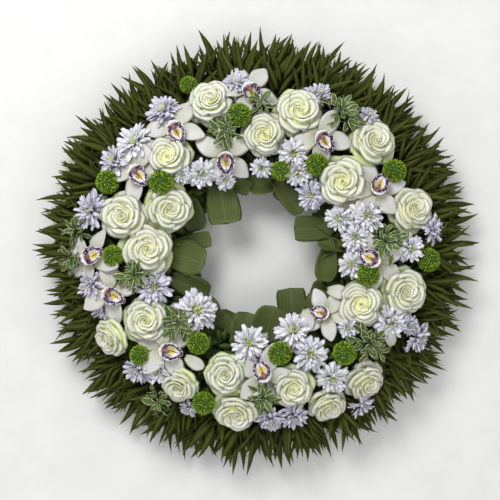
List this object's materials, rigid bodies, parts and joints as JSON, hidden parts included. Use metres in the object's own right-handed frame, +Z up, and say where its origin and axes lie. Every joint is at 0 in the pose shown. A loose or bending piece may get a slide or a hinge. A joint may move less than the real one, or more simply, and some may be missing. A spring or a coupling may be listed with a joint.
{
  "type": "funeral wreath",
  "caption": "Round funeral wreath lying flat: white roses, orchids and chrysanthemums with green santini on wet foam in a ring tray, edged with pointed leaves, open in the middle.",
  "frame": {"origin": "centre of the ring, on the surface that the tray's underside rests on", "axes": "+Z up out of the flowers, +X and +Y across the ring as seen from above with +Y at the top"},
  "size_m": [0.7828, 0.7828, 0.1412],
  "materials": {
    "tray_plastic": "moulded dark green plastic, slightly satin",
    "wet_foam": "soaked dark green open-cell floral foam",
    "olive_leaf": "satin olive green leaf, paler at the midrib",
    "broad_leaf": "waxy mid green leaf with fine veins",
    "rose_petal": "velvety cream white petal, green-yellow in the depths",
    "orchid_petal": "thick white petal tinged lilac, purple dotted lip",
    "santini_floret": "tight bright green florets",
    "chrysanthemum_ray": "white ray petals with lilac tips"
  },
  "bodies": {
    "root": {"rose_01": "rose_petal", "rose_02": "rose_petal", "rose_03": "rose_petal", "rose_04": "rose_petal", "rose_05": "rose_petal", "rose_06": "rose_petal", "rose_07": "rose_petal", "rose_08": "rose_petal", "rose_09": "rose_petal", "rose_10": "rose_petal", "rose_11": "rose_petal", "rose_12": "rose_petal", "rose_13": "rose_petal", "rose_14": "rose_petal", "rose_15": "rose_petal", "rose_16": "rose_petal", "rose_17": "rose_petal", "rose_18": "rose_petal", "rose_19": "rose_petal", "rose_20": "rose_petal", "orchid_01": "orchid_petal", "orchid_02": "orchid_petal", "orchid_03": "orchid_petal", "orchid_04": "orchid_petal", "orchid_05": "orchid_petal", "orchid_06": "orchid_petal", "orchid_07": "orchid_petal", "orchid_08": "orchid_petal", "orchid_09": "orchid_petal", "orchid_10": "orchid_petal", "orchid_11": "orchid_petal", "orchid_12": "orchid_petal", "santini_01": "santini_floret", "santini_02": "santini_floret", "santini_03": "santini_floret", "santini_04": "santini_floret", "santini_05": "santini_floret", "santini_06": "santini_floret", "santini_07": "santini_floret", "santini_08": "santini_floret", "santini_09": "santini_floret", "santini_10": "santini_floret", "santini_11": "santini_floret", "santini_12": "santini_floret", "santini_13": "santini_floret", "santini_14": "santini_floret", "santini_15": "santini_floret", "chrysanthemum_spray_01": "chrysanthemum_ray", "chrysanthemum_spray_02": "chrysanthemum_ray", "chrysanthemum_spray_03": "chrysanthemum_ray", "chrysanthemum_spray_04": "chrysanthemum_ray", "chrysanthemum_spray_05": "chrysanthemum_ray", "chrysanthemum_spray_06": "chrysanthemum_ray", "tray": "tray_plastic", "foam_ring": "wet_foam", "outer_leaf_garland_01": "olive_leaf", "outer_leaf_garland_02": "olive_leaf", "outer_leaf_garland_03": "olive_leaf", "outer_leaf_garland_04": "olive_leaf", "inner_leaf_collar": "broad_leaf"}
  },
  "joints": []
}
